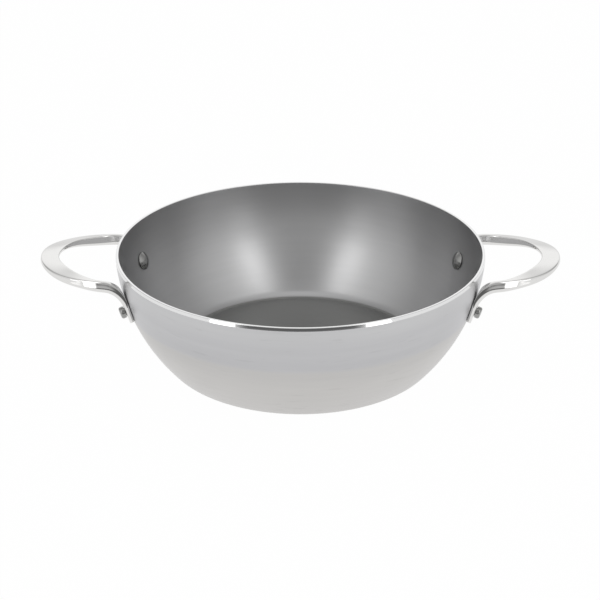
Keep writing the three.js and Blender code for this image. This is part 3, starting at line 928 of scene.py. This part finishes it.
# White floor, with a darker front part that only the metal sees
FLOOR_SIZE = 8
FLOOR_GREY = 0.9
FLOOR_SHOWN = 0.985  # share of plain white in what the camera sees, beside the lit floor
FLOOR_FRONT_LEVEL = 0.2
FLOOR_FRONT_FROM = 0.4  # distance from the pan's axis at which the front part starts
FLOOR_FRONT_FADE = 0.1

# Soft boxes, alike on both sides: azimuth in degrees from the camera's side
SOFTBOX_DISTANCE = 0.73
PANEL = {"azimuth": 41.5, "width": 0.22, "bottom": 0.34, "top": 1.2, "radiance": 1.8}
FRONT = {"azimuth": 41.5, "width": 0.18, "bottom": 0.03, "top": 0.20, "radiance": 1.9}
SKIRT_PANES = (
    {"azimuth": 45.7, "width": 0.31, "bottom": 0.06, "top": 0.20, "radiance": 0.45},
    {"azimuth": 39.0, "width": 0.115, "bottom": 0.075, "top": 0.18, "radiance": 1.2},
    {"azimuth": 53.0, "width": 0.126, "bottom": 0.105, "top": 0.18, "radiance": 1.2},
)


def make_camera():
    data = bpy.data.cameras.new("camera")
    data.sensor_width = CAMERA_SENSOR
    data.lens = CAMERA_LENS
    camera = bpy.data.objects.new("camera", data)
    bpy.context.scene.collection.objects.link(camera)
    back = Vector((0, -math.cos(CAMERA_ELEVATION), math.sin(CAMERA_ELEVATION)))
    camera.location = AIM + back * CAMERA_DISTANCE
    camera.rotation_euler = (-back).to_track_quat("-Z", "Y").to_euler()
    bpy.context.scene.camera = camera


def room_level(graph):
    """Brightness of the room in each direction: bright sides, dimmer towards the back, a bright backdrop
    behind the pan and a dark gap on the camera's side."""
    x, y, z = graph.split(graph.add("ShaderNodeTexCoord").outputs["Generated"])
    flat = graph.math("SQRT", graph.math("ADD", graph.squares(x, y), STRAIGHT_UP))
    ahead = graph.math("DIVIDE", graph.math("MULTIPLY", y, -1.0), flat)
    room = graph.ramp(ahead, math.cos(SIDE_BACK_ANGLE), math.cos(SIDE_FRONT_ANGLE),
                      SIDE_BACK_LEVEL, SIDE_FRONT_LEVEL)
    room = graph.blend(graph.ramp(z, *HORIZON_FADE), HORIZON_LEVEL, room)
    room = graph.blend(graph.ramp(z, *CEILING_FADE), room, CEILING_LEVEL)
    backdrop = graph.ramp(z, *BACKDROP_RISE, BACKDROP_LOW_LEVEL, BACKDROP_LEVEL)
    room = graph.blend(graph.ramp(y, *BACKDROP_FADE), room, backdrop)
    gap = graph.ramp(ahead, math.cos(GAP_OUTSIDE), math.cos(GAP_INSIDE))
    gap = graph.math("MULTIPLY", gap, graph.ramp(z, *GAP_TOP_FADE))
    dim = graph.ramp(z, *GAP_RISE, GAP_LEVEL, GAP_UPPER_LEVEL)
    dim = graph.math("SUBTRACT", dim, graph.ramp(z, *GAP_SHADE_FADE, 0.0, GAP_SHADE))
    return graph.blend(gap, room, dim)


def make_world():
    """White for the camera, and the room for the metal."""
    world = bpy.data.worlds.new("studio")
    bpy.context.scene.world = world
    world.use_nodes = True
    graph = Graph(world.node_tree)
    graph.tree.nodes.clear()
    room = graph.add("ShaderNodeBackground")
    graph.feed(room.inputs["Strength"], room_level(graph))
    white = graph.add("ShaderNodeBackground")
    for shade in (room, white):
        shade.inputs["Color"].default_value = (1, 1, 1, 1)
    to_camera = graph.add("ShaderNodeLightPath").outputs["Is Camera Ray"]
    shown = graph.choose_shader(to_camera, room.outputs[0], white.outputs[0])
    graph.feed(graph.add("ShaderNodeOutputWorld").inputs["Surface"], shown)


def floor_level(graph):
    """Brightness of the floor in the metal: white, but darker in front, below the gap in the room."""
    x, y, _ = graph.split(graph.add("ShaderNodeTexCoord").outputs["Object"])
    front = graph.ramp(y, -FLOOR_FRONT_FROM, -FLOOR_FRONT_FROM - FLOOR_FRONT_FADE)
    aside = graph.math("DIVIDE", x, graph.math("MINIMUM", y, -FLOOR_FRONT_FROM))
    ahead = graph.ramp(graph.math("ABSOLUTE", aside), math.tan(GAP_OUTSIDE), math.tan(GAP_INSIDE))
    return graph.blend(graph.math("MULTIPLY", front, ahead), 1.0, FLOOR_FRONT_LEVEL)


def make_floor():
    """A floor with a soft shadow under the pan, white to the camera and clear from below."""
    nothing_selected()
    bpy.ops.mesh.primitive_plane_add(size=FLOOR_SIZE, location=(0, 0, -FIT_GAP))
    floor = named(bpy.context.object, "floor")
    apply_place(floor)
    material = bpy.data.materials.new("white_floor")
    material.use_nodes = True
    graph = Graph(material.node_tree)
    graph.tree.nodes.clear()
    rays = graph.add("ShaderNodeLightPath").outputs
    lit = graph.add("ShaderNodeBsdfDiffuse")
    lit.inputs["Color"].default_value = (FLOOR_GREY, FLOOR_GREY, FLOOR_GREY, 1)
    shown = graph.add("ShaderNodeEmission")
    level = graph.math("MAXIMUM", floor_level(graph), rays["Is Camera Ray"])
    graph.feed(shown.inputs["Strength"], level)
    in_metal = graph.math("MAXIMUM", rays["Is Glossy Ray"], rays["Is Transmission Ray"])
    seen = graph.math("MAXIMUM", graph.math("MULTIPLY", rays["Is Camera Ray"], FLOOR_SHOWN), in_metal)
    above = graph.choose_shader(seen, lit.outputs[0], shown.outputs[0])
    below = graph.add("ShaderNodeBsdfTransparent").outputs[0]
    turned_away = graph.add("ShaderNodeNewGeometry").outputs["Backfacing"]
    surface = graph.choose_shader(turned_away, above, below)
    graph.feed(graph.add("ShaderNodeOutputMaterial").inputs["Surface"], surface)
    floor.data.materials.append(material)


def make_softbox(name, side, azimuth, width, bottom, top, radiance):
    """An upright soft panel that faces the pan. The camera doesn't see it."""
    angle = side * math.radians(azimuth)
    away = Vector((math.sin(angle), -math.cos(angle), 0))
    height = top - bottom
    data = bpy.data.lights.new(name, "AREA")
    data.shape = "RECTANGLE"
    data.size = width
    data.size_y = height
    data.energy = radiance * math.pi * width * height
    lamp = bpy.data.objects.new(name, data)
    bpy.context.scene.collection.objects.link(lamp)
    lamp.location = away * SOFTBOX_DISTANCE + UP * (top + bottom) / 2
    lamp.rotation_euler = (-away).to_track_quat("-Z", "Y").to_euler()
    lamp.visible_camera = False
    return lamp


def light_group(name, pieces):
    """The pieces that a lamp lights, where it doesn't light all."""
    lit = bpy.data.collections.new(name)
    for piece in pieces:
        lit.objects.link(piece)
    return lit


def make_lamps(bowl, fittings):
    """On each side a tall panel for everything, low panes for the fittings and a low panel for the bowl."""
    bowl_alone = light_group("bowl_alone", [bowl])
    fittings_alone = light_group("fittings_alone", fittings)
    for name, side in (("left", -1), ("right", 1)):
        make_softbox(name + "_panel", side, **PANEL)
        for pane in SKIRT_PANES:
            skirt = make_softbox(name + "_skirt", side, **pane)
            skirt.light_linking.receiver_collection = fittings_alone
        front = make_softbox(name + "_front", side, **FRONT)
        front.light_linking.receiver_collection = bowl_alone


make_camera()
make_world()
make_floor()
make_lamps(bowl, [right_handle, left_handle, *rivets.values()])
bpy.context.scene.view_settings.view_transform = "Standard"
